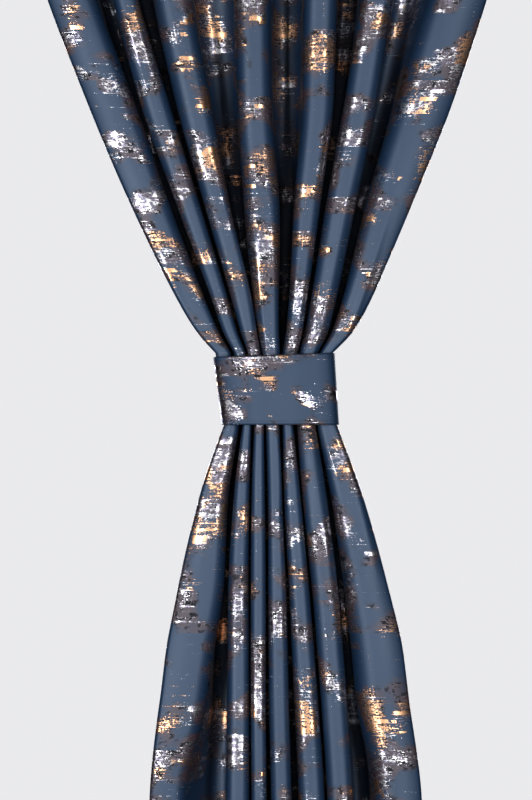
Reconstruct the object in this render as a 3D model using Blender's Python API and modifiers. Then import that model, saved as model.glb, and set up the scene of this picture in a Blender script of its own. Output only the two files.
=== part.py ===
"""A floor-length blackout curtain, hung in deep folds and gathered at its waist by a cloth tieback.

Metres, +Z up. The origin is the middle of the curtain's top edge, where it hangs. The room is towards -Y.
"""

from collections import namedtuple
from math import asin, atan2, cos, hypot, radians, sin, tanh

import bmesh
import bpy

MM = 0.001

# Cloth sizes
FLAT_WIDTH = 1400 * MM
CLOTH = 1.6 * MM
EDGE_CLOTH = 70 * MM  # from the middle of an outer fold to the side hem
FOLDS = 7
HALF_FOLD_CLOTH = (FLAT_WIDTH - 2 * EDGE_CLOTH) / (2 * (FOLDS - 1))

# How round the folds are, as shares of their width
FRONT_ROUND = 0.40
BACK_ROUND = 0.44
OUTER_CORNER = 5 * MM
# Where folds crowd together, a back fold takes this share of the pitch of its two crests, up to a limit
CROWDED_SHARE = 0.75
CROWDED_MOST = 26 * MM
DEEPEST_FOLD = 140 * MM

# Steps of the mesh across each rounded part and each straight part
ARC_STEPS = 3
BOW_STEPS = 2
HEM_STEPS = 2

# Tieback sizes
BAND_TOP = 1406 * MM  # below the curtain's top edge
BAND_FOOT = 1496 * MM
BAND_CLOTH = 2.6 * MM
BAND_LAP = 44 * MM
BAND_CLIMB = 6 * MM
BAND_SIDES = 32
GAP = 0.4 * MM

# Each row is one level of the curtain, in millimetres, seen from the room.
#   drop: below the top edge.  steps: mesh rows down to the next level.
#   front: how far the crests stand in front of the middle plane.
#   uneven: share of SET_BACK that shows.  turn: degrees that the cloth turns at its outer edges.
#   crests: where each fold's crest stands.  widths: how wide each fold looks.
#   bows: degrees that the faces of the two outer folds turn away before their outer corners, left and right.
#   inners: the radii of the inner corners of the two outer folds.
Level = namedtuple("Level", "drop steps front uneven turn crests widths bows inners")
LEVELS = (
    Level(0, 4, 30, 0.6, 105, (-412, -276, -141, -4, 134, 271, 408), (72, 58, 60, 60, 58, 60, 72),
          (22, 26), (20, 28)),
    Level(764, 2, 38, 0.8, 115, (-318, -236, -157, -26, 74, 170, 288), (66, 42, 52, 50, 48, 48, 74),
          (24, 28), (20, 30)),
    Level(964, 2, 42, 1.0, 125, (-254, -187, -128, -28, 57, 128, 227), (62, 31, 49, 45, 42, 40, 77),
          (24, 28), (20, 30)),
    Level(1089, 2, 44, 1.0, 125, (-207, -152, -103, -26, 54, 108, 188), (59, 36, 44, 43, 39, 40, 72),
          (24, 28), (20, 28)),
    Level(1214, 2, 46, 1.0, 120, (-159, -111, -74, -17, 41, 84, 145), (49, 29, 32, 44, 33, 37, 58),
          (18, 26), (18, 22)),
    Level(1339, 1, 48, 0.8, 108, (-105, -69, -42, -11, 29, 61, 102), (34, 20, 24, 31, 22, 31, 34),
          (14, 22), (12, 12)),
    Level(1380, 1, 49, 1.0, 98, (-84, -56, -33, -8, 24, 52, 84), (25, 17, 19, 25, 20, 28, 25),
          (16, 21), (8, 8)),
    Level(1406, 3, 50, 1.3, 90, (-65, -44, -26, -5, 19, 42, 64), (18, 14, 15, 22, 18, 22, 15),
          (20, 20), (6, 6)),
    Level(1496, 2, 50, 1.3, 92, (-54, -35, -20, -3, 16, 39, 65), (18, 10, 11, 16, 12, 22, 24),
          (24, 24), (8, 8)),
    Level(1589, 2, 49, 0.8, 108, (-77, -42, -21, 0, 22, 50, 91), (36, 19, 16, 17, 20, 30, 40),
          (26, 28), (14, 14)),
    Level(1714, 1, 47, 1.0, 120, (-95, -46, -21, 3, 31, 64, 117), (58, 25, 18, 22, 25, 32, 57),
          (18, 28), (20, 24)),
    Level(1776, 1, 46, 1.0, 122, (-106, -46, -21, 4, 35, 69, 128), (60, 26, 18, 23, 27, 32, 64),
          (15, 27), (22, 27)),
    Level(1840, 2, 46, 1.0, 123, (-114, -46, -21, 5, 39, 74, 135), (60, 27, 18, 24, 29, 32, 66),
          (12, 26), (24, 29)),
    Level(1964, 4, 45, 1.0, 125, (-134, -47, -20, 8, 46, 82, 154), (46, 29, 18, 25, 32, 32, 60),
          (8, 24), (20, 28)),
    Level(2450, 0, 44, 1.0, 120, (-146, -55, -20, 16, 58, 99, 171), (48, 36, 27, 32, 37, 38, 64),
          (6, 22), (22, 30)),
)
# How far each crest stands behind the foremost one, in millimetres, from left to right
SET_BACK = (8, 3, 0, 0, 1, 3, 8)

# How much of the open space between two crests each back fold fills, from left to right
BACK_FILL = (0.3, 0.3, 0.95, 0.8, 0.3, 0.3)
# How far each back fold stands off the middle of its two crests, as a share of the open space past 8 mm
BACK_LEAN = (0.35, 0, 0, 0, 0, -0.15)
LEAN_FROM = 8 * MM

# A rounded fold in plan: its middle, the plane of its face, its width, and its corner radii left and right
Lobe = namedtuple("Lobe", "x y width left right")


def slopes(places, values):
    """The slope at each place of a smooth curve through the values that never overshoots them."""
    rises = [(b - a) / (q - p) for p, q, a, b in zip(places, places[1:], values, values[1:])]
    inner = [2 * a * b / (a + b) if a * b > 0 else 0.0 for a, b in zip(rises, rises[1:])]
    return [rises[0], *inner, rises[-1]]


def eased(places, values, at):
    """The smooth curve's value at one place."""
    last = len(places) - 2
    i = next((k for k in range(last) if at < places[k + 1]), last)
    span = places[i + 1] - places[i]
    t = (at - places[i]) / span
    slope = slopes(places, values)
    start = (1 + 2 * t) * (1 - t) ** 2 * values[i] + t * (1 - t) ** 2 * span * slope[i]
    end = t * t * (3 - 2 * t) * values[i + 1] - t * t * (1 - t) * span * slope[i + 1]
    return start + end


def stretch_of(drop):
    """The levels above, behind or below the tieback, whose edges kink the folds."""
    above = [level for level in LEVELS if level.drop * MM <= BAND_TOP]
    below = [level for level in LEVELS if level.drop * MM >= BAND_FOOT]
    if drop <= BAND_TOP:
        return above
    if drop >= BAND_FOOT:
        return below
    return [above[-1], below[0]]


def level_at(drop):
    """The table's columns at any drop, in metres."""
    levels = stretch_of(drop)
    places = [level.drop * MM for level in levels]

    def column(read):
        return eased(places, [read(level) for level in levels], drop)

    front = column(lambda level: level.front) * MM
    uneven = column(lambda level: level.uneven)
    turn = radians(column(lambda level: level.turn))
    crests = [column(lambda level, k=k: level.crests[k]) * MM for k in range(FOLDS)]
    widths = [column(lambda level, k=k: level.widths[k]) * MM for k in range(FOLDS)]
    bows = [radians(column(lambda level, k=k: level.bows[k])) for k in range(2)]
    inners = [column(lambda level, k=k: level.inners[k]) * MM for k in range(2)]
    return front, uneven, turn, crests, widths, bows, inners


def front_lobes(front, uneven, crests, widths, inners):
    """The folds that face the room. The two outer ones are broad panels with a sharp outer corner."""
    lobes = []
    for k in range(FOLDS):
        corner = FRONT_ROUND * widths[k]
        left = right = corner
        if k == 0:
            left, right = OUTER_CORNER, min(widths[k] / 2, inners[0])
        if k == FOLDS - 1:
            left, right = min(widths[k] / 2, inners[1]), OUTER_CORNER
        lobes.append(Lobe(crests[k], SET_BACK[k] * uneven * MM - front, widths[k], left, right))
    return lobes


def half_fold(front, back):
    """From a crest to the back fold on its right: the cloth's length, turn and both corners' centres."""
    near = (front.x + front.width / 2 - front.right, front.y + front.right)
    far = (back.x - back.width / 2 + back.left, back.y - back.left)
    across, deep = far[0] - near[0], far[1] - near[1]
    reach = front.right + back.left
    apart = max(hypot(across, deep), reach)
    turn = atan2(deep, across) + asin(reach / apart)
    leg = (apart**2 - reach**2) ** 0.5
    flat = front.width / 2 - front.right + back.width / 2 - back.left
    return flat + reach * turn + leg, turn, near, far


def mirrored(lobe):
    return Lobe(-lobe.x, lobe.y, lobe.width, lobe.right, lobe.left)


def back_lobe(before, after, fill, lean):
    """The back fold between two crests, as deep as its share of the cloth lets it hang."""
    pitch = after.x - before.x
    space = max(pitch - (before.width + after.width) / 2, 0)
    crowded = CROWDED_MOST * tanh(CROWDED_SHARE * pitch / CROWDED_MOST)
    width = hypot((fill * space) ** 2, crowded**2) ** 0.5
    corner = BACK_ROUND * width
    middle_x = (before.x + after.x) / 2 + (before.width - after.width) / 4
    middle_x += lean * max(space - LEAN_FROM, 0)

    def placed(y):
        return Lobe(middle_x, y, width, corner, corner)

    def cloth(y):
        back = placed(y)
        return half_fold(before, back)[0] + half_fold(mirrored(after), mirrored(back))[0]

    low = max(before.y + before.right, after.y + after.left) + corner
    high = low + DEEPEST_FOLD
    while high - low > 1e-6:
        middle = (low + high) / 2
        if cloth(middle) < 2 * HALF_FOLD_CLOTH:
            low = middle
        else:
            high = middle
    return placed(low)


def run_of(front, back):
    """Points from a crest's middle to the middle of the back fold on its right, both included."""
    _, turn, near, far = half_fold(front, back)
    points = [(front.x, front.y)]
    for step in range(1, ARC_STEPS + 1):
        angle = turn * step / ARC_STEPS
        points.append((near[0] + front.right * sin(angle), near[1] - front.right * cos(angle)))
    for step in range(ARC_STEPS, 0, -1):
        angle = turn * step / ARC_STEPS
        points.append((far[0] - back.left * sin(angle), far[1] + back.left * cos(angle)))
    return points + [(back.x, back.y)]


def outer_run(lobe, turn, bow):
    """Points from the right-hand crest over its bowed face and outer corner to the side hem behind it."""
    sweep = (lobe.width / 2 - lobe.right * (1 - sin(bow))) / sin(bow)
    left_over = EDGE_CLOTH - sweep * bow - lobe.right * (turn - bow)
    points = [(lobe.x, lobe.y)]
    for step in range(1, BOW_STEPS + 1):
        angle = bow * step / BOW_STEPS
        points.append((lobe.x + sweep * sin(angle), lobe.y + sweep * (1 - cos(angle))))
    corner = (points[-1][0] - lobe.right * sin(bow), points[-1][1] + lobe.right * cos(bow))
    for step in range(1, ARC_STEPS + 1):
        angle = bow + (turn - bow) * step / ARC_STEPS
        points.append((corner[0] + lobe.right * sin(angle), corner[1] - lobe.right * cos(angle)))
    start = points[-1]
    for step in range(1, HEM_STEPS + 1):
        reach = left_over * step / HEM_STEPS
        points.append((start[0] + reach * cos(turn), start[1] + reach * sin(turn)))
    return points


def flipped(points):
    """A run on the right made into the same run on the left, in order from left to right."""
    return [(-x, y) for x, y in reversed(points)]


def section(drop):
    """The curtain's plan at one level, from the left side hem to the right one."""
    front, uneven, turn, crests, widths, bows, inners = level_at(drop)
    lobes = front_lobes(front, uneven, crests, widths, inners)
    points = flipped(outer_run(mirrored(lobes[0]), turn, bows[0]))[:-1]
    for before, after, fill, lean in zip(lobes, lobes[1:], BACK_FILL, BACK_LEAN):
        back = back_lobe(before, after, fill, lean)
        points += run_of(before, back)[:-1]
        points += flipped(run_of(mirrored(after), mirrored(back)))[:-1]
    return points + outer_run(lobes[-1], turn, bows[1])


def row_drops():
    """The levels of the mesh rows, closer together where the folds bend most."""
    drops = [0.0]
    for level, below in zip(LEVELS, LEVELS[1:]):
        for step in range(1, level.steps + 1):
            drops.append((level.drop + (below.drop - level.drop) * step / level.steps) * MM)
    return drops


def band_outline(drop):
    """The tieback's plan at one level: a loop tight round the folds, its outer end lapped at the back."""
    plan = section(drop)
    off = (CLOTH + BAND_CLOTH) / 2 + GAP
    facing = [radians(90 + 360 * side / BAND_SIDES) for side in range(BAND_SIDES + 1)]
    reaches = [max(x * cos(a) + y * sin(a) for x, y in plan) + off for a in facing]
    corners = []
    for a, b, reach_a, reach_b in zip(facing, facing[1:], reaches, reaches[1:]):
        across = (reach_a * sin(b) - reach_b * sin(a)) / sin(b - a)
        deep = (reach_b * cos(a) - reach_a * cos(b)) / sin(b - a)
        corners.append((across, deep))
    back = reaches[0]
    middle = (corners[0][0] + corners[-1][0]) / 2
    inner_end, outer_end = middle + BAND_LAP / 2, middle - BAND_LAP / 2
    over = inner_end + BAND_CLOTH
    lifted = back + BAND_CLOTH + GAP
    inner_ply = [(inner_end, back), (outer_end, back)]
    outer_ply = [(over + BAND_CLIMB, back), (over, lifted), (outer_end, lifted)]
    return inner_ply + corners + outer_ply


def grid_mesh(name, rows):
    """A surface through rows of points, each row given as (height, points in plan)."""
    mesh = bpy.data.meshes.new(name)
    builder = bmesh.new()
    grid = [[builder.verts.new((x, y, height)) for x, y in plan] for height, plan in rows]
    for upper, lower in zip(grid, grid[1:]):
        for i in range(len(upper) - 1):
            builder.faces.new((upper[i], lower[i], lower[i + 1], upper[i + 1]))
    builder.to_mesh(mesh)
    builder.free()
    return mesh


def cloth_object(name, rows, thickness, colour, roughness):
    """A sheet of cloth of even thickness with its own material."""
    mesh = grid_mesh(name, rows)
    made = bpy.data.objects.new(name, mesh)
    shell = made.modifiers.new("thickness", "SOLIDIFY")
    shell.thickness = thickness
    shell.offset = 0
    shell.use_even_offset = True
    finish = bpy.data.materials.new(name)
    finish.use_nodes = True
    shader = finish.node_tree.nodes["Principled BSDF"]
    shader.inputs["Base Color"].default_value = colour
    shader.inputs["Roughness"].default_value = roughness
    mesh.materials.append(finish)
    mesh.shade_smooth()
    return made


def curtain():
    rows = [(-drop, section(drop)) for drop in row_drops()]
    return cloth_object("curtain", rows, CLOTH, (0.028, 0.051, 0.095, 1), 0.55)


def tieback():
    rows = [(-drop, band_outline(drop)) for drop in row_drops() if BAND_TOP <= drop <= BAND_FOOT]
    return cloth_object("tieback", rows, BAND_CLOTH, (0.030, 0.053, 0.095, 1), 0.6)


def clear_scene():
    for old in list(bpy.data.objects):
        bpy.data.objects.remove(old, do_unlink=True)


def main():
    clear_scene()
    group = bpy.data.collections.new("Blackout curtain with tieback")
    bpy.context.scene.collection.children.link(group)
    for made in (curtain(), tieback()):
        group.objects.link(made)


main()
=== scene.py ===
"""Looks for a blackout curtain gathered at its waist: printed navy satin, its hems, and a cloth tieback.

Metres, +Z up, in the part's own frame. The origin is the middle of the top edge and the room is towards -Y.
"""

from collections import namedtuple
from math import asin, atan2, cos, hypot, pi, radians, sin, tanh

import bmesh
import bpy
import numpy as np
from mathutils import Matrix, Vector


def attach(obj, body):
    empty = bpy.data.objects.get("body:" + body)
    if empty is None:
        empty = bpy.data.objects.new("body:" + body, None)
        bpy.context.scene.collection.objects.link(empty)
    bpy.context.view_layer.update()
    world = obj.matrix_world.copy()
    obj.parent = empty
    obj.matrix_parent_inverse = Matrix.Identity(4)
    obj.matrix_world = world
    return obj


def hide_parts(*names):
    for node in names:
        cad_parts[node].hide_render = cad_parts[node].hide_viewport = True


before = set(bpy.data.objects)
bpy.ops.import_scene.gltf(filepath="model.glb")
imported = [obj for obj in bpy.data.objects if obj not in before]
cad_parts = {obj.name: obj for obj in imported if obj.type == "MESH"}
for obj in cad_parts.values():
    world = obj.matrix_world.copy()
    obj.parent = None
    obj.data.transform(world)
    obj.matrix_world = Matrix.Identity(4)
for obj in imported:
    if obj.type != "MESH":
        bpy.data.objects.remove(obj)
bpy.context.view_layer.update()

MM = 0.001

# Cloth sizes
DROP = 2450 * MM
FLAT_WIDTH = 1400 * MM
CLOTH = 1.0 * MM
HEM_CLOTH = 1.6 * MM
EDGE_CLOTH = 70 * MM  # from the middle of an outer fold to the side hem
FOLDS = 7
HALF_FOLD_CLOTH = (FLAT_WIDTH - 2 * EDGE_CLOTH) / (2 * (FOLDS - 1))
SIDE_HEM = 25 * MM
BOTTOM_HEM = 80 * MM
TOP_HEM = 60 * MM
STITCH = 4.5 * MM
THREAD = 0.9 * MM

# How round the folds are, as shares of their width
FRONT_ROUND = 0.40
BACK_ROUND = 0.44
OUTER_CORNER = 5 * MM  # the radius of the two outer folds' outer corners
# Where folds crowd together, a back fold takes this share of the pitch of its two crests, up to a limit
CROWDED_SHARE = 0.75
CROWDED_MOST = 26 * MM
DEEPEST_FOLD = 140 * MM  # no back fold is looked for deeper than this
DEPTH_FIT = 1e-6  # how closely a back fold's depth is worked out

# Steps of the mesh across each half fold and down the cloth
FACE_STEPS = 2
ARC_STEPS = 6
LEG_STEPS = 4
OUTER_STEPS = 7
FINE_ROW = 8.5 * MM
COARSE_ROW = 26 * MM
FINE_FROM = 930 * MM
FINE_TO = 2000 * MM

# Tieback sizes
BAND_TOP = 1406 * MM  # below the curtain's top edge
BAND_FOOT = 1496 * MM
BAND_CLOTH = 2.4 * MM
BAND_LAP = 44 * MM  # how far its two ends overlap at the back
BAND_CLIMB = 6 * MM  # the run over which the outer end climbs onto the inner one
BAND_SIDES = 32  # the directions in which it is drawn tight
BAND_STEP = 2.5 * MM
BAND_ROWS = 30
BAND_SLIP = 5 * MM  # how far the top edge's left corner has slipped down
BAND_SOFTEN = 8 * MM  # how far the tieback's bends are rounded, each way along it
BAND_CREASE = -37 * MM  # where a faint upright crease shows, off the middle line
BAND_CREASE_DEEP = 0.8 * MM
BAND_CREASE_WIDE = 5 * MM
BAND_SEAM = 5 * MM  # from its edges to its stitches
GAP = 0.5 * MM  # between one layer of cloth and the next

# Seams
STITCH_SHARE = 0.72  # how much of each stitch's length its thread shows
SEAM_INSET = 3 * MM  # from a hem's inner edge to its stitches
BAND_SEAM_SPAN = 2.0  # more than the strip's length, so its outer end has no seam
# A piece of cloth's width and height, and how far each of its seams is from the edge beside it
Seams = namedtuple("Seams", "width height side foot head")
HEM_SEAMS = Seams(FLAT_WIDTH, DROP, SIDE_HEM - SEAM_INSET, BOTTOM_HEM - SEAM_INSET, TOP_HEM - SEAM_INSET)
BAND_SEAMS = Seams(BAND_SEAM_SPAN, BAND_FOOT - BAND_TOP, BAND_SEAM, BAND_SEAM, BAND_SEAM)

# The print's rows along the weft: how tall they are, and how far they are shifted sideways at most
PATCH_ROW = 21 * MM
PATCH_SHIFT = 40 * MM
BAR_ROW = 5 * MM
BAR_SHIFT = 400 * MM

# Random blotches on the cloth.
#   across, down: how many there are to the metre.  seed: sets one pattern apart from the others.
#   detail: how many layers of finer blotches they carry.  rough: how strong each finer layer is.
Blotches = namedtuple("Blotches", "across down seed detail rough")
SOFT_PATCHES = Blotches(21, 24, 1, 1.0, 0.5)
CUT_PATCHES = Blotches(17, 20, 2, 1.0, 0.5)
STREAKS = Blotches(90, 620, 3, 2.0, 0.6)
SPECKS = Blotches(430, 560, 5, 2.0, 0.8)
SCRATCHES = Blotches(420, 80, 7, 1.0, 0.5)
DENSITIES = Blotches(14, 17, 9, 1.0, 0.5)
TONE_ROWS = Blotches(13, 18, 11, 1.0, 0.5)
TONE_SPOTS = Blotches(34, 40, 12, 1.0, 0.5)
BARS = Blotches(19, 0.0, 13, 0.0, 0.5)
DULL_SPOTS = Blotches(150, 210, 15, 1.0, 0.5)
LINES = Blotches(13, 380, 17, 0.0, 0.5)
DRIPS = Blotches(300, 9, 19, 0.0, 0.5)
SMOKE = Blotches(26, 30, 22, 2.0, 0.5)
SLUBS = Blotches(60, 900, 31, 2.0, 0.5)
SHEEN = Blotches(9, 5, 33, 3.0, 0.5)
SEED_STEPS = (3.1, 1.7, 2.3)  # how far a pattern moves for each count of its seed
PRINT_STEPS = (1, 0.61, 1)  # how far the whole print moves for each count of a piece's own seed

# How much each layer counts in the pattern that it is part of
PATCH_WEIGHTS = (0.4, 0.6)  # patches cut into rows, soft patches
GRAIN_WEIGHTS = (0.52, 0.36, 0.12)  # specks, streaks, scratches
TONE_WEIGHTS = (0.15, 0.6, 0.4, 0.05)  # specks, rows, spots, bars
SMOKE_WEIGHTS = (0.5, 0.5, 0.25)  # patches, smoke, streaks
RIB_WEIGHTS = (0.35, 0.25)  # weft, warp
DENSITY_SPREAD = 0.25  # how much denser some patches are than others, at most
DENSITY_LEAST = 0.025
STROKE_WEIGHT = 0.13
NEAR_WEIGHT = 0.03  # what the print gains on and round a patch
THIN_STROKE = 0.8  # how strong lines and drips are beside bars

# The values between which each mask rises from nothing to full
CORE_RISE = (0.47, 0.59)
NEAR_RISE = (0.46, 0.52)
BAR_RISE = (0.66, 0.68)
LINE_RISE = (0.71, 0.75)
DRIP_RISE = (0.76, 0.80)
FOIL_RISE = (0.663, 0.688)
COPPER_RISE = (0.620, 0.640)
GLAZE_RISE = (0.58, 0.66)
INK_RISE = (0.56, 0.61)
SILVER_RISE = (0.44, 0.58)

# Colours of the cloth and the print
NAVY = (0.003, 0.035, 0.090, 1)
NAVY_LIGHT = (0.005, 0.042, 0.102, 1)
NAVY_BACK = (0.014, 0.032, 0.064, 1)
THREAD_NAVY = (0.005, 0.016, 0.035, 1)
HAZE = (0.070, 0.037, 0.043, 1)
INK = (0.006, 0.006, 0.008, 1)
SILVER = (0.74, 0.73, 0.76, 1)
SILVER_DULL = (0.26, 0.25, 0.30, 1)
COPPER = (0.80, 0.52, 0.34, 1)

# Gloss and relief of the cloth
CURTAIN_ROUGHNESS = 0.56
BAND_ROUGHNESS = 0.62
REVERSE_ROUGHNESS = 0.6
FOIL_ROUGHNESS = 0.36
INK_ROUGHNESS = 0.9
GLOSS_SHIFT = 0.12  # the most that the satin's roughness varies by
CLOTH_IOR = 1.7
CLOTH_SPECULAR = 1.0
CLOTH_TINT = (0.825, 0.885, 0.985, 1)
BAND_SEED = 5.3  # so that the tieback shows another part of the print
WARP_RIBS = 900  # to the metre
WEFT_RIBS = 1100
RIB_HEIGHT = 0.3  # beside the foil's height
THREAD_HEIGHT = 2.0
BUMP_STRENGTH = 0.35
BUMP_HEIGHT = 0.2 * MM
# The places of a mix node's sockets for its two colours, and for the mixed one
COLOUR_A = 6
COLOUR_B = 7
COLOUR_OUT = 2

# Each row is one level of the curtain, in millimetres, seen from the room.
#   drop: below the top edge.
#   front: how far the crests stand in front of the middle plane.
#   uneven: share of SET_BACK that shows.  turn: degrees that the cloth turns at its outer edges.
#   crests: where each fold's crest stands.  widths: how wide each fold looks.
#   bows: degrees that the faces of the two outer folds turn away before their outer corners, left and right.
#   inners: the radii of the inner corners of the two outer folds.
Level = namedtuple("Level", "drop front uneven turn crests widths bows inners")
LEVELS = (
    Level(0, 30, 0.6, 105, (-412, -276, -141, -4, 134, 271, 408), (72, 58, 60, 60, 58, 60, 72),
          (22, 26), (20, 28)),
    Level(764, 38, 0.8, 115, (-318, -236, -157, -26, 74, 170, 288), (66, 42, 52, 50, 48, 48, 74),
          (24, 28), (20, 30)),
    Level(964, 42, 1.0, 125, (-254, -187, -128, -28, 57, 128, 227), (62, 31, 49, 45, 42, 40, 77),
          (24, 28), (20, 30)),
    Level(1089, 44, 1.0, 125, (-207, -152, -103, -26, 54, 108, 188), (59, 36, 44, 43, 39, 40, 72),
          (24, 28), (20, 28)),
    Level(1214, 46, 1.0, 120, (-159, -111, -74, -17, 41, 84, 145), (49, 29, 32, 44, 33, 37, 58),
          (18, 26), (18, 22)),
    Level(1339, 48, 0.8, 108, (-105, -69, -42, -11, 29, 61, 102), (34, 20, 24, 31, 22, 31, 34),
          (14, 22), (12, 12)),
    Level(1380, 49, 1.0, 98, (-84, -56, -33, -8, 24, 52, 84), (25, 17, 19, 25, 20, 28, 25),
          (16, 21), (8, 8)),
    Level(1406, 50, 1.3, 90, (-65, -44, -26, -5, 19, 42, 64), (18, 14, 15, 22, 18, 22, 15),
          (20, 20), (6, 6)),
    Level(1496, 50, 1.3, 92, (-54, -35, -20, -3, 16, 39, 65), (18, 10, 11, 16, 12, 22, 24),
          (24, 24), (8, 8)),
    Level(1589, 49, 0.8, 108, (-77, -42, -21, 0, 22, 50, 91), (36, 19, 16, 17, 20, 30, 40),
          (26, 28), (14, 14)),
    Level(1714, 47, 1.0, 120, (-95, -46, -21, 3, 31, 64, 117), (58, 25, 18, 22, 25, 32, 57),
          (18, 28), (20, 24)),
    Level(1776, 46, 1.0, 122, (-106, -46, -21, 4, 35, 69, 128), (60, 26, 18, 23, 27, 32, 64),
          (15, 27), (22, 27)),
    Level(1840, 46, 1.0, 123, (-114, -46, -21, 5, 39, 74, 135), (60, 27, 18, 24, 29, 32, 66),
          (12, 26), (24, 29)),
    Level(1964, 45, 1.0, 125, (-134, -47, -20, 8, 46, 82, 154), (46, 29, 18, 25, 32, 32, 60),
          (8, 24), (20, 28)),
    Level(2450, 44, 1.0, 120, (-146, -55, -20, 16, 58, 99, 171), (48, 36, 27, 32, 37, 38, 64),
          (6, 22), (22, 30)),
)
# How far each crest stands behind the foremost one, in millimetres, from left to right
SET_BACK = (8, 3, 0, 0, 1, 3, 8)

# Soft creases in the cloth, in millimetres: across: from the left side hem.  top, foot: below the top edge.
#   deep: how far the groove sinks.  wide: its width.  lean: how far it drifts sideways on its way down.
Crease = namedtuple("Crease", "across top foot deep wide lean")
CREASES = (
    Crease(52, 1240, 1410, 1.6, 9, 8),
    Crease(88, 1290, 1412, 1.2, 8, -5),
    Crease(500, 1150, 1408, 1.5, 10, 4),
    Crease(716, 1210, 1410, 1.8, 9, -6),
    Crease(692, 1270, 1412, 1.2, 7, 5),
    Crease(905, 1240, 1410, 1.2, 8, 3),
    Crease(1125, 1180, 1410, 1.5, 9, -4),
    Crease(1330, 1200, 1408, 1.8, 10, 7),
    Crease(1352, 1300, 1412, 1.2, 7, -3),
    Crease(60, 1490, 1640, 1.6, 10, -6),
    Crease(300, 1490, 1610, 1.0, 7, 3),
    Crease(706, 1490, 1600, 1.2, 7, 2),
    Crease(1120, 1490, 1630, 1.2, 8, 3),
    Crease(1340, 1490, 1690, 1.8, 11, 6),
)
CREASE_FADE = 0.7  # under 1, a crease keeps its depth nearer to its ends

# The camera looks level at the tieback, as the photograph does
FRAME_SIZE = (532, 800)
PIXEL = 1.25 * MM
VIEW_PIXEL = (266, 400)  # where the camera points
MIDDLE_PIXEL = 275  # the curtain's middle line
TOP_PIXEL_DROP = 965 * MM  # the drop at the picture's top edge
CAMERA_DISTANCE = 3.1
CREST_PLANE = -45 * MM
SENSOR_WIDTH = 36  # in millimetres, as lenses are given
VIEW_GAMMA = 0.72

# The softboxes, all turned to the waist: where each one stands, its width and height, and its power in watts
WAIST = (0, 0, -1.45)
Softbox = namedtuple("Softbox", "name place size power")
SOFTBOXES = (
    Softbox("left softbox", (-1.26, -2.72, -1.5), (0.7, 3.2), 77),
    Softbox("right softbox", (1.16, -2.77, -1.5), (0.7, 3.2), 62),
    Softbox("back softbox right", (1.4, 2.4, -0.9), (1.0, 2.6), 65),
    Softbox("back softbox left", (-1.4, 2.4, -0.9), (1.0, 2.6), 65),
)

# The floor and the surround
PALE = (0.87, 0.87, 0.885)
FLOOR_SIDES = 128
FLOOR_RADIUS = 2.7
FLOOR_BELOW = 12 * MM  # under the hem
FLOOR_PAINT = (0.07, 0.07, 0.072, 1)
FLOOR_ROUGHNESS = 0.9
FLOOR_GLOW = 0.93
FELT_COLOUR = (0.93, 0.96, 1.0, 1)
FELT_STRENGTH = 0.02

# How much of the open space between two crests each back fold fills, from left to right
BACK_FILL = (0.3, 0.3, 0.95, 0.8, 0.3, 0.3)
# How far each back fold stands off the middle of its two crests, as a share of the open space past LEAN_FROM
BACK_LEAN = (0.35, 0, 0, 0, 0, -0.15)
LEAN_FROM = 8 * MM

# A rounded fold in plan: its middle, the plane of its face, its width, and its corner radii left and right
Lobe = namedtuple("Lobe", "x y width left right")


# The folds in plan


def slopes(places, values):
    """The slope at each place of a smooth curve through the values that never overshoots them."""
    rises = [(b - a) / (q - p) for p, q, a, b in zip(places, places[1:], values, values[1:])]
    inner = [2 * a * b / (a + b) if a * b > 0 else 0.0 for a, b in zip(rises, rises[1:])]
    return [rises[0], *inner, rises[-1]]


def eased(places, values, at):
    """The smooth curve's value at one place."""
    last = len(places) - 2
    i = next((k for k in range(last) if at < places[k + 1]), last)
    span = places[i + 1] - places[i]
    t = (at - places[i]) / span
    slope = slopes(places, values)
    start = (1 + 2 * t) * (1 - t) ** 2 * values[i] + t * (1 - t) ** 2 * span * slope[i]
    end = t * t * (3 - 2 * t) * values[i + 1] - t * t * (1 - t) * span * slope[i + 1]
    return start + end


def stretch_of(drop):
    """The levels above, behind or below the tieback, whose edges kink the folds."""
    above = [level for level in LEVELS if level.drop * MM <= BAND_TOP]
    below = [level for level in LEVELS if level.drop * MM >= BAND_FOOT]
    if drop <= BAND_TOP:
        return above
    if drop >= BAND_FOOT:
        return below
    return [above[-1], below[0]]


def level_at(drop):
    """The table's columns at any drop, in metres."""
    levels = stretch_of(drop)
    places = [level.drop * MM for level in levels]

    def column(read):
        return eased(places, [read(level) for level in levels], drop)

    front = column(lambda level: level.front) * MM
    uneven = column(lambda level: level.uneven)
    turn = radians(column(lambda level: level.turn))
    crests = [column(lambda level, k=k: level.crests[k]) * MM for k in range(FOLDS)]
    widths = [column(lambda level, k=k: level.widths[k]) * MM for k in range(FOLDS)]
    bows = [radians(column(lambda level, k=k: level.bows[k])) for k in range(2)]
    inners = [column(lambda level, k=k: level.inners[k]) * MM for k in range(2)]
    return front, uneven, turn, crests, widths, bows, inners


def front_lobes(front, uneven, crests, widths, inners):
    """The folds that face the room. The two outer ones are broad panels with a sharp outer corner."""
    lobes = []
    for k in range(FOLDS):
        corner = FRONT_ROUND * widths[k]
        left = right = corner
        if k == 0:
            left, right = OUTER_CORNER, min(widths[k] / 2, inners[0])
        if k == FOLDS - 1:
            left, right = min(widths[k] / 2, inners[1]), OUTER_CORNER
        lobes.append(Lobe(crests[k], SET_BACK[k] * uneven * MM - front, widths[k], left, right))
    return lobes


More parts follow.
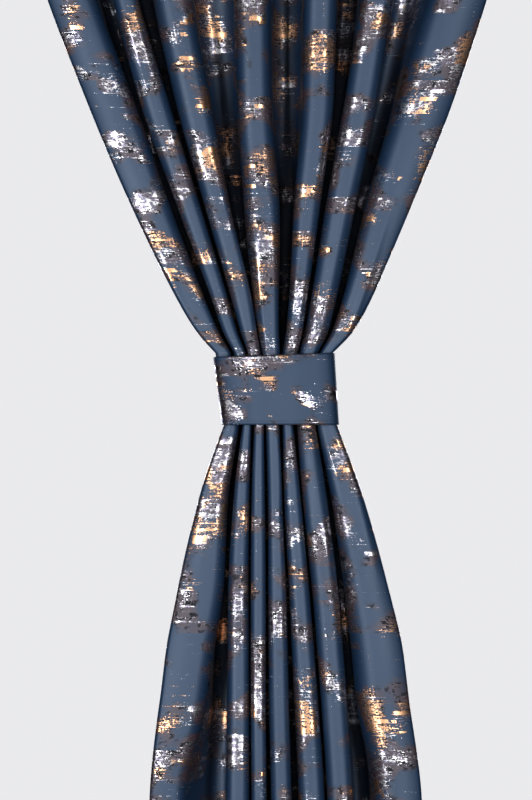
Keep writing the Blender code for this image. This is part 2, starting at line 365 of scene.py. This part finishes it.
def half_fold(front, back):
    """From a crest to the back fold on its right: the cloth's length, turn and both corners' centres."""
    near = (front.x + front.width / 2 - front.right, front.y + front.right)
    far = (back.x - back.width / 2 + back.left, back.y - back.left)
    across, deep = far[0] - near[0], far[1] - near[1]
    reach = front.right + back.left
    apart = max(hypot(across, deep), reach)
    turn = atan2(deep, across) + asin(reach / apart)
    leg = (apart**2 - reach**2) ** 0.5
    flat = front.width / 2 - front.right + back.width / 2 - back.left
    return flat + reach * turn + leg, turn, near, far


def mirrored(lobe):
    return Lobe(-lobe.x, lobe.y, lobe.width, lobe.right, lobe.left)


def back_lobe(before, after, fill, lean):
    """The back fold between two crests, as deep as its share of the cloth lets it hang."""
    pitch = after.x - before.x
    space = max(pitch - (before.width + after.width) / 2, 0)
    crowded = CROWDED_MOST * tanh(CROWDED_SHARE * pitch / CROWDED_MOST)
    width = hypot((fill * space) ** 2, crowded**2) ** 0.5
    corner = BACK_ROUND * width
    middle_x = (before.x + after.x) / 2 + (before.width - after.width) / 4
    middle_x += lean * max(space - LEAN_FROM, 0)

    def placed(y):
        return Lobe(middle_x, y, width, corner, corner)

    def cloth(y):
        back = placed(y)
        return half_fold(before, back)[0] + half_fold(mirrored(after), mirrored(back))[0]

    low = max(before.y + before.right, after.y + after.left) + corner
    high = low + DEEPEST_FOLD
    while high - low > DEPTH_FIT:
        middle = (low + high) / 2
        if cloth(middle) < 2 * HALF_FOLD_CLOTH:
            low = middle
        else:
            high = middle
    return placed(low)


def straight(start, end, steps):
    """Points along a straight stretch, its start included and its end left out."""
    return [
        (start[0] + (end[0] - start[0]) * step / steps, start[1] + (end[1] - start[1]) * step / steps)
        for step in range(steps)
    ]


def run_of(front, back):
    """Points from a crest's middle to the middle of the back fold on its right, both included."""
    _, turn, near, far = half_fold(front, back)
    leave = [turn * step / ARC_STEPS for step in range(ARC_STEPS + 1)]
    out = [(near[0] + front.right * sin(a), near[1] - front.right * cos(a)) for a in leave]
    home = [(far[0] - back.left * sin(a), far[1] + back.left * cos(a)) for a in reversed(leave)]
    points = straight((front.x, front.y), out[0], FACE_STEPS) + out[:-1]
    points += straight(out[-1], home[0], LEG_STEPS) + home[:-1]
    return points + straight(home[-1], (back.x, back.y), 1) + [(back.x, back.y)]


def outer_run(lobe, turn, bow):
    """Points from the right-hand crest over its bowed face and outer corner to the side hem behind it."""
    sweep = (lobe.width / 2 - lobe.right * (1 - sin(bow))) / sin(bow)
    left_over = EDGE_CLOTH - sweep * bow - lobe.right * (turn - bow)
    face = [bow * step / OUTER_STEPS for step in range(OUTER_STEPS + 1)]
    points = [(lobe.x + sweep * sin(a), lobe.y + sweep * (1 - cos(a))) for a in face]
    corner = (points[-1][0] - lobe.right * sin(bow), points[-1][1] + lobe.right * cos(bow))
    bend = [bow + (turn - bow) * step / ARC_STEPS for step in range(1, ARC_STEPS + 1)]
    points += [(corner[0] + lobe.right * sin(a), corner[1] - lobe.right * cos(a)) for a in bend]
    start = points[-1]
    end = (start[0] + left_over * cos(turn), start[1] + left_over * sin(turn))
    return points + straight(start, end, OUTER_STEPS)[1:] + [end]


def flipped(points):
    """A run on the right made into the same run on the left, in order from left to right."""
    return [(-x, y) for x, y in reversed(points)]


def section(drop):
    """The curtain's plan at one level, from the left side hem to the right one."""
    front, uneven, turn, crests, widths, bows, inners = level_at(drop)
    lobes = front_lobes(front, uneven, crests, widths, inners)
    points = flipped(outer_run(mirrored(lobes[0]), turn, bows[0]))[:-1]
    for before, after, fill, lean in zip(lobes, lobes[1:], BACK_FILL, BACK_LEAN):
        back = back_lobe(before, after, fill, lean)
        points += run_of(before, back)[:-1]
        points += flipped(run_of(mirrored(after), mirrored(back)))[:-1]
    return points + outer_run(lobes[-1], turn, bows[1])


def stretches(start, end, step):
    """Evenly spaced values from start up to end, about a step apart, with end left out."""
    count = max(1, round((end - start) / step))
    return [start + (end - start) * i / count for i in range(count)]


def along(points):
    """The distance of each point from the first one, measured along the line through them."""
    return np.concatenate([[0.0], np.cumsum(np.linalg.norm(np.diff(points, axis=0), axis=1))])


# Meshes


def grid_object(name, points, cloth_uv):
    """A surface through a grid of points, with its place on the flat cloth as a UV map in metres."""
    rows, columns, _ = points.shape
    builder = bmesh.new()
    flat_cloth = builder.loops.layers.uv.new("cloth")
    verts = [[builder.verts.new(points[i, j]) for j in range(columns)] for i in range(rows)]
    for i in range(rows - 1):
        for j in range(columns - 1):
            corners = ((i, j), (i + 1, j), (i + 1, j + 1), (i, j + 1))
            face = builder.faces.new([verts[a][b] for a, b in corners])
            face.smooth = True
            for loop, (a, b) in zip(face.loops, corners):
                loop[flat_cloth].uv = cloth_uv[a, b]
    mesh = bpy.data.meshes.new(name)
    builder.to_mesh(mesh)
    builder.free()
    made = bpy.data.objects.new(name, mesh)
    bpy.context.scene.collection.objects.link(made)
    return made


def give_thickness(made, thickness, share):
    """Turns a surface into cloth. share is how much of the thickness each point has."""
    weights = made.vertex_groups.new(name="thickness")
    for index, value in enumerate(share.ravel()):
        weights.add([index], float(value), "REPLACE")
    shell = made.modifiers.new("thickness", "SOLIDIFY")
    shell.thickness = thickness
    shell.offset = 0
    shell.vertex_group = "thickness"
    shell.use_even_offset = True
    shell.material_offset = 1
    shell.material_offset_rim = 1


def normals_of(points):
    """The direction that each point of a grid faces."""
    down = np.gradient(points, axis=0)
    across = np.gradient(points, axis=1)
    facing = np.cross(down, across)
    return facing / np.linalg.norm(facing, axis=2, keepdims=True)


def creased(across, drop):
    """How far the creases sink the cloth, at each point of the flat cloth."""
    sunk = np.zeros_like(across)
    for crease in CREASES:
        t = np.clip((drop / MM - crease.top) / (crease.foot - crease.top), 0, 1)
        middle = crease.across + crease.lean * t
        fade = np.sin(pi * t) ** CREASE_FADE
        sunk += crease.deep * fade * np.exp(-(((across / MM - middle) / (crease.wide / 2)) ** 2))
    return sunk * MM


def curtain_grid():
    """The curtain's points, and where each one is on the flat cloth."""
    drops = stretches(0, FINE_FROM, COARSE_ROW)
    for start, end in zip((FINE_FROM, BAND_TOP, BAND_FOOT), (BAND_TOP, BAND_FOOT, FINE_TO)):
        drops += stretches(start, end, FINE_ROW)
    drops += stretches(FINE_TO, DROP, COARSE_ROW) + [DROP]
    points, cloth = [], []
    for drop in drops:
        plan = np.array(section(drop))
        across = along(plan)
        across *= FLAT_WIDTH / across[-1]
        points.append(np.column_stack([plan, np.full(len(plan), -drop)]))
        cloth.append(np.column_stack([across, np.full(len(plan), DROP - drop)]))
    return np.array(points), np.array(cloth)


def make_curtain(printed, reverse):
    points, cloth = curtain_grid()
    across, drop = cloth[:, :, 0], DROP - cloth[:, :, 1]
    points = points + normals_of(points) * creased(across, drop)[:, :, None]
    from_edge = np.minimum(across, FLAT_WIDTH - across)
    in_hem = (from_edge < SIDE_HEM) | (drop > DROP - BOTTOM_HEM) | (drop < TOP_HEM)
    made = grid_object("curtain_cloth", points, cloth)
    give_thickness(made, HEM_CLOTH, np.where(in_hem, 1.0, CLOTH / HEM_CLOTH))
    made.data.materials.append(printed)
    made.data.materials.append(reverse)
    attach(made, "root")
    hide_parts("curtain")


def band_outline(drop):
    """The tieback's plan at one level: a loop tight round the folds, its outer end lapped at the back."""
    plan = section(drop)
    off = (HEM_CLOTH + BAND_CLOTH) / 2 + GAP
    facing = [radians(90 + 360 * side / BAND_SIDES) for side in range(BAND_SIDES + 1)]
    reaches = [max(x * cos(a) + y * sin(a) for x, y in plan) + off for a in facing]
    corners = []
    for a, b, reach_a, reach_b in zip(facing, facing[1:], reaches, reaches[1:]):
        across = (reach_a * sin(b) - reach_b * sin(a)) / sin(b - a)
        deep = (reach_b * cos(a) - reach_a * cos(b)) / sin(b - a)
        corners.append((across, deep))
    back = reaches[0]
    middle = (corners[0][0] + corners[-1][0]) / 2
    inner_end, outer_end = middle + BAND_LAP / 2, middle - BAND_LAP / 2
    over = inner_end + BAND_CLOTH
    lifted = back + BAND_CLOTH + GAP
    inner_ply = [(inner_end, back), (outer_end, back)]
    outer_ply = [(over + BAND_CLIMB, back), (over, lifted), (outer_end, lifted)]
    return inner_ply + corners + outer_ply


def softened(plan):
    """The tieback's plan with its bends rounded and a faint crease, apart from the lap at the back."""
    reach = round(BAND_SOFTEN / BAND_STEP)
    padded = np.pad(plan, ((reach, reach), (0, 0)), mode="edge")
    mean = sum(padded[i : i + len(plan)] for i in range(2 * reach + 1)) / (2 * reach + 1)
    share = np.clip((plan[:, 1].max() - plan[:, 1]) / BAND_SOFTEN - 1, 0, 1)[:, None]
    soft = plan + (mean - plan) * share
    groove = BAND_CREASE_DEEP * np.exp(-(((soft[:, 0] - BAND_CREASE) / BAND_CREASE_WIDE) ** 2))
    soft[:, 1] += np.where(soft[:, 1] < 0, groove, 0.0)
    return soft


def band_grid():
    """The tieback's points, and where each one is on its flat strip."""
    drops = [BAND_TOP + (BAND_FOOT - BAND_TOP) * row / BAND_ROWS for row in range(BAND_ROWS + 1)]
    outlines = [np.array(band_outline(drop)) for drop in drops]
    columns = round(along(outlines[0])[-1] / BAND_STEP)
    points, cloth = [], []
    for row, (drop, outline) in enumerate(zip(drops, outlines)):
        reach = along(outline)
        at = np.linspace(0, reach[-1], columns + 1)
        plan = np.column_stack([np.interp(at, reach, values) for values in outline.T])
        x, y = softened(plan).T
        leftness = np.clip(0.5 - x / (x.max() - x.min()), 0, 1)
        points.append(np.column_stack([x, y, -drop - BAND_SLIP * leftness * (1 - row / BAND_ROWS)]))
        cloth.append(np.column_stack([at, np.full(columns + 1, BAND_FOOT - drop)]))
    return np.array(points), np.array(cloth)


def make_tieback(printed, reverse):
    points, cloth = band_grid()
    made = grid_object("tieback_cloth", points, cloth)
    give_thickness(made, BAND_CLOTH, np.ones(points.shape[:2]))
    made.data.materials.append(printed)
    made.data.materials.append(reverse)
    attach(made, "root")
    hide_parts("tieback")


# Materials


def node(tree, kind, **settings):
    made = tree.nodes.new(kind)
    for name, value in settings.items():
        setattr(made, name, value)
    return made


def feed(tree, socket, value):
    """Links a socket to another one, or sets it."""
    if isinstance(value, bpy.types.NodeSocket):
        tree.links.new(value, socket)
    else:
        socket.default_value = value


def calc(tree, operation, *values):
    made = node(tree, "ShaderNodeMath", operation=operation)
    for socket, value in zip(made.inputs, values):
        feed(tree, socket, value)
    return made.outputs[0]


def step_up(tree, value, low, high):
    """0 below low, 1 above high and a soft step between."""
    made = node(tree, "ShaderNodeMapRange", interpolation_type="SMOOTHSTEP")
    feed(tree, made.inputs["Value"], value)
    made.inputs["From Min"].default_value = low
    made.inputs["From Max"].default_value = high
    return made.outputs["Result"]


def weighed(tree, values, weights):
    """The sum of some values, each times its weight."""
    total = calc(tree, "MULTIPLY", values[0], weights[0])
    for value, weight in zip(values[1:], weights[1:]):
        total = calc(tree, "MULTIPLY_ADD", value, weight, total)
    return total


def mottle(tree, where, blotches):
    """Soft random blotches, from 0 to 1."""
    scaled = node(tree, "ShaderNodeVectorMath", operation="MULTIPLY_ADD")
    feed(tree, scaled.inputs[0], where)
    scaled.inputs[1].default_value = (blotches.across, blotches.down, 1.0)
    scaled.inputs[2].default_value = [blotches.seed * step for step in SEED_STEPS]
    made = node(tree, "ShaderNodeTexNoise")
    feed(tree, made.inputs["Vector"], scaled.outputs[0])
    made.inputs["Scale"].default_value = 1.0
    made.inputs["Detail"].default_value = blotches.detail
    made.inputs["Roughness"].default_value = blotches.rough
    return made.outputs["Fac"]


def blend(tree, share, low, high):
    """One colour or another, by share."""
    made = node(tree, "ShaderNodeMix", data_type="RGBA")
    feed(tree, made.inputs["Factor"], share)
    feed(tree, made.inputs[COLOUR_A], low)
    feed(tree, made.inputs[COLOUR_B], high)
    return made.outputs[COLOUR_OUT]


def mixed(tree, share, low, high):
    """One value or another, by share."""
    made = node(tree, "ShaderNodeMix", data_type="FLOAT")
    for label, value in zip(("Factor", "A", "B"), (share, low, high)):
        feed(tree, made.inputs[label], value)
    return made.outputs["Result"]


def new_group(name, inputs, outputs):
    """A node group with sockets given as (name, kind): the group, what comes in and what goes out."""
    tree = bpy.data.node_groups.new(name, "ShaderNodeTree")
    for label, kind in inputs:
        tree.interface.new_socket(name=label, in_out="INPUT", socket_type=kind)
    for label, kind in outputs:
        tree.interface.new_socket(name=label, in_out="OUTPUT", socket_type=kind)
    return tree, node(tree, "NodeGroupInput").outputs, node(tree, "NodeGroupOutput").inputs


def weft_rows(tree, cloth, height, shift):
    """The cloth cut into rows along its weft, each shifted sideways by its own amount."""
    place = node(tree, "ShaderNodeSeparateXYZ")
    feed(tree, place.inputs[0], cloth)
    row = calc(tree, "FLOOR", calc(tree, "DIVIDE", place.outputs["Y"], height))
    shuffle = node(tree, "ShaderNodeTexWhiteNoise", noise_dimensions="1D")
    feed(tree, shuffle.inputs["W"], row)
    cut = node(tree, "ShaderNodeCombineXYZ")
    shifted = calc(tree, "MULTIPLY_ADD", shuffle.outputs["Value"], shift, place.outputs["X"])
    feed(tree, cut.inputs["X"], shifted)
    feed(tree, cut.inputs["Y"], calc(tree, "MULTIPLY", row, height))
    feed(tree, cut.inputs["Z"], place.outputs["Z"])
    return cut.outputs[0]


def foil_print_group():
    """A dry-brushed foil print: ragged patches of specks, lines and bars, with a dark glaze round them."""
    tree, given, out = new_group(
        "foil print",
        [("Cloth", "NodeSocketVector")],
        [(label, "NodeSocketFloat") for label in ("Foil", "Copper", "Glaze", "Dull")],
    )
    cloth = given["Cloth"]
    rows = weft_rows(tree, cloth, PATCH_ROW, PATCH_SHIFT)
    soft = mottle(tree, cloth, SOFT_PATCHES)
    patch = weighed(tree, (mottle(tree, rows, CUT_PATCHES), soft), PATCH_WEIGHTS)
    core = step_up(tree, patch, *CORE_RISE)
    near_patch = step_up(tree, patch, *NEAR_RISE)

    streak = mottle(tree, cloth, STREAKS)
    speck = mottle(tree, cloth, SPECKS)
    grain = weighed(tree, (speck, streak, mottle(tree, cloth, SCRATCHES)), GRAIN_WEIGHTS)
    density = calc(tree, "MULTIPLY_ADD", mottle(tree, cloth, DENSITIES), DENSITY_SPREAD, DENSITY_LEAST)
    laid = calc(tree, "MULTIPLY_ADD", core, density, grain)

    bars = mottle(tree, weft_rows(tree, cloth, BAR_ROW, BAR_SHIFT), BARS)
    bar = calc(tree, "MULTIPLY", step_up(tree, bars, *BAR_RISE), near_patch)
    line = step_up(tree, mottle(tree, cloth, LINES), *LINE_RISE)
    drip = step_up(tree, mottle(tree, cloth, DRIPS), *DRIP_RISE)
    thin = calc(tree, "MULTIPLY", calc(tree, "MAXIMUM", line, drip), THIN_STROKE)
    strokes = calc(tree, "MAXIMUM", bar, thin)
    laid = calc(tree, "MULTIPLY_ADD", strokes, STROKE_WEIGHT, laid)
    laid = calc(tree, "MULTIPLY_ADD", near_patch, NEAR_WEIGHT, laid)
    feed(tree, out["Foil"], step_up(tree, laid, *FOIL_RISE))

    tone_rows = mottle(tree, rows, TONE_ROWS)
    tone_spots = mottle(tree, cloth, TONE_SPOTS)
    tone = weighed(tree, (speck, tone_rows, tone_spots, bar), TONE_WEIGHTS)
    feed(tree, out["Copper"], step_up(tree, tone, *COPPER_RISE))

    smoke = weighed(tree, (patch, mottle(tree, cloth, SMOKE), streak), SMOKE_WEIGHTS)
    feed(tree, out["Glaze"], calc(tree, "MULTIPLY", step_up(tree, smoke, *GLAZE_RISE), near_patch))
    feed(tree, out["Dull"], mottle(tree, cloth, DULL_SPOTS))
    return tree


def satin_weave_group():
    """The fine ribs of a satin weave, as a height and a slight shift of tone."""
    tree, given, out = new_group(
        "satin weave",
        [("Cloth", "NodeSocketVector")],
        [("Height", "NodeSocketFloat"), ("Tone", "NodeSocketFloat")],
    )
    cloth = given["Cloth"]
    place = node(tree, "ShaderNodeSeparateXYZ")
    feed(tree, place.inputs[0], cloth)
    warp = calc(tree, "SINE", calc(tree, "MULTIPLY", place.outputs["X"], 2 * pi * WARP_RIBS))
    weft = calc(tree, "SINE", calc(tree, "MULTIPLY", place.outputs["Y"], 2 * pi * WEFT_RIBS))
    ribs = weighed(tree, (weft, warp), RIB_WEIGHTS)
    feed(tree, out["Height"], calc(tree, "ADD", ribs, mottle(tree, cloth, SLUBS)))
    feed(tree, out["Tone"], mottle(tree, cloth, SHEEN))
    return tree


def stitch_group():
    """A row of stitches: the thread's mask, from the distance off the seam and the distance along it."""
    tree, given, out = new_group(
        "stitches",
        [("Off", "NodeSocketFloat"), ("Along", "NodeSocketFloat")],
        [("Thread", "NodeSocketFloat")],
    )
    on_line = calc(tree, "LESS_THAN", calc(tree, "ABSOLUTE", given["Off"]), THREAD / 2)
    phase = calc(tree, "FRACT", calc(tree, "DIVIDE", given["Along"], STITCH))
    feed(tree, out["Thread"], calc(tree, "MULTIPLY", on_line, calc(tree, "LESS_THAN", phase, STITCH_SHARE)))
    return tree


def stitched(tree, stitches, seams):
    """The thread's mask on a piece of cloth, along all its seams."""
    place = node(tree, "ShaderNodeSeparateXYZ")
    feed(tree, place.inputs[0], node(tree, "ShaderNodeUVMap", uv_map="cloth").outputs[0])
    across, up = place.outputs["X"], place.outputs["Y"]
    from_side = calc(tree, "MINIMUM", across, calc(tree, "SUBTRACT", seams.width, across))
    from_head = calc(tree, "SUBTRACT", seams.height, up)
    lines = ((from_side, seams.side, up), (up, seams.foot, across), (from_head, seams.head, across))
    thread = 0.0
    for distance, seam, along_it in lines:
        row = node(tree, "ShaderNodeGroup", node_tree=stitches)
        feed(tree, row.inputs["Off"], calc(tree, "SUBTRACT", distance, seam))
        feed(tree, row.inputs["Along"], along_it)
        thread = calc(tree, "MAXIMUM", row.outputs["Thread"], thread)
    return thread


def placed_group(tree, group, cloth):
    made = node(tree, "ShaderNodeGroup", node_tree=group)
    feed(tree, made.inputs["Cloth"], cloth)
    return made.outputs


def cloth_material(name, weave, colours, roughness, print_group=None, seed=0.0, stitches=None, seams=None):
    """Satin cloth, with or without the foil print and the stitched seams."""
    material = bpy.data.materials.new(name)
    material.use_nodes = True
    tree = material.node_tree
    shader = tree.nodes["Principled BSDF"]
    flat_cloth = node(tree, "ShaderNodeUVMap", uv_map="cloth")
    spot = node(tree, "ShaderNodeVectorMath", operation="ADD")
    feed(tree, spot.inputs[0], flat_cloth.outputs[0])
    spot.inputs[1].default_value = [seed * step for step in PRINT_STEPS]
    cloth = spot.outputs[0]
    ribs = placed_group(tree, weave, cloth)
    colour = blend(tree, ribs["Tone"], *colours)
    height = calc(tree, "MULTIPLY", ribs["Height"], RIB_HEIGHT)
    if print_group:
        foil = placed_group(tree, print_group, cloth)
        ink = calc(tree, "MULTIPLY", foil["Glaze"], step_up(tree, foil["Dull"], *INK_RISE))
        colour = blend(tree, ink, blend(tree, foil["Glaze"], colour, HAZE), INK)
        silver = blend(tree, step_up(tree, foil["Dull"], *SILVER_RISE), SILVER_DULL, SILVER)
        metal = blend(tree, foil["Copper"], silver, COPPER)
        colour = blend(tree, foil["Foil"], colour, metal)
        feed(tree, shader.inputs["Metallic"], foil["Foil"])
        gloss = calc(tree, "MULTIPLY_ADD", ribs["Tone"], GLOSS_SHIFT, roughness - GLOSS_SHIFT / 2)
        gloss = mixed(tree, ink, gloss, INK_ROUGHNESS)
        feed(tree, shader.inputs["Roughness"], mixed(tree, foil["Foil"], gloss, FOIL_ROUGHNESS))
        height = calc(tree, "ADD", height, foil["Foil"])
    else:
        shader.inputs["Roughness"].default_value = roughness
    if seams:
        thread = stitched(tree, stitches, seams)
        colour = blend(tree, thread, colour, THREAD_NAVY)
        height = calc(tree, "MULTIPLY_ADD", thread, THREAD_HEIGHT, height)
    feed(tree, shader.inputs["Base Color"], colour)
    bump = node(tree, "ShaderNodeBump")
    bump.inputs["Strength"].default_value = BUMP_STRENGTH
    bump.inputs["Distance"].default_value = BUMP_HEIGHT
    feed(tree, bump.inputs["Height"], height)
    feed(tree, shader.inputs["Normal"], bump.outputs[0])
    shader.inputs["IOR"].default_value = CLOTH_IOR
    shader.inputs["Specular IOR Level"].default_value = CLOTH_SPECULAR
    shader.inputs["Specular Tint"].default_value = CLOTH_TINT
    return material


# The room round it


def plain_material(name, colour, roughness):
    material = bpy.data.materials.new(name)
    material.use_nodes = True
    shader = material.node_tree.nodes["Principled BSDF"]
    shader.inputs["Base Color"].default_value = colour
    shader.inputs["Roughness"].default_value = roughness
    return material


def make_floor():
    """A pale floor that takes a faint shadow and throws no light back into the folds."""
    bpy.ops.mesh.primitive_circle_add(
        vertices=FLOOR_SIDES, radius=FLOOR_RADIUS, fill_type="NGON", location=(0, 0, -DROP - FLOOR_BELOW)
    )
    floor = bpy.context.object
    floor.name = "floor"
    paint = plain_material("pale floor", FLOOR_PAINT, FLOOR_ROUGHNESS)
    shader = paint.node_tree.nodes["Principled BSDF"]
    shader.inputs["Emission Color"].default_value = (*PALE, 1)
    shader.inputs["Emission Strength"].default_value = FLOOR_GLOW
    floor.data.materials.append(paint)
    floor.visible_diffuse = False
    floor.visible_glossy = False
    floor.visible_shadow = False


def make_surround():
    """A pale surround that the camera sees, and a dimmer one that lights the cloth."""
    world = bpy.data.worlds.new("studio")
    bpy.context.scene.world = world
    world.use_nodes = True
    tree = world.node_tree
    tree.nodes.clear()
    seen = node(tree, "ShaderNodeBackground")
    seen.inputs["Color"].default_value = (*PALE, 1)
    felt = node(tree, "ShaderNodeBackground")
    felt.inputs["Color"].default_value = FELT_COLOUR
    felt.inputs["Strength"].default_value = FELT_STRENGTH
    choose = node(tree, "ShaderNodeMixShader")
    paths = node(tree, "ShaderNodeLightPath")
    tree.links.new(paths.outputs["Is Camera Ray"], choose.inputs[0])
    tree.links.new(felt.outputs[0], choose.inputs[1])
    tree.links.new(seen.outputs[0], choose.inputs[2])
    tree.links.new(choose.outputs[0], node(tree, "ShaderNodeOutputWorld").inputs[0])


def make_light(softbox):
    light = bpy.data.lights.new(softbox.name, "AREA")
    light.shape = "RECTANGLE"
    light.size, light.size_y = softbox.size
    light.energy = softbox.power
    made = bpy.data.objects.new(softbox.name, light)
    made.location = softbox.place
    aim = np.array(WAIST) - np.array(softbox.place)
    made.rotation_euler = Vector(aim).to_track_quat("-Z", "Y").to_euler()
    made.visible_camera = False
    bpy.context.scene.collection.objects.link(made)


def make_camera():
    across = (VIEW_PIXEL[0] - MIDDLE_PIXEL) * PIXEL
    height = -(TOP_PIXEL_DROP + VIEW_PIXEL[1] * PIXEL)
    lens = bpy.data.cameras.new("camera")
    lens.sensor_width = SENSOR_WIDTH
    lens.lens = SENSOR_WIDTH * (CAMERA_DISTANCE + CREST_PLANE) / (FRAME_SIZE[1] * PIXEL)
    made = bpy.data.objects.new("camera", lens)
    made.location = (across, -CAMERA_DISTANCE, height)
    made.rotation_euler = (pi / 2, 0, 0)
    bpy.context.scene.collection.objects.link(made)
    bpy.context.scene.camera = made


def main():
    view = bpy.context.scene.view_settings
    view.view_transform = "Standard"
    view.gamma = VIEW_GAMMA
    make_camera()
    make_floor()
    make_surround()
    for softbox in SOFTBOXES:
        make_light(softbox)
    weave = satin_weave_group()
    foil = foil_print_group()
    stitches = stitch_group()
    satin = (NAVY, NAVY_LIGHT)
    printed = cloth_material(
        "printed navy satin", weave, satin, CURTAIN_ROUGHNESS, foil, stitches=stitches, seams=HEM_SEAMS
    )
    band_print = cloth_material(
        "printed tieback satin", weave, satin, BAND_ROUGHNESS, foil, BAND_SEED, stitches, BAND_SEAMS
    )
    reverse = cloth_material("plain satin back", weave, (NAVY_BACK, NAVY), REVERSE_ROUGHNESS)
    make_curtain(printed, reverse)
    make_tieback(band_print, reverse)


main()
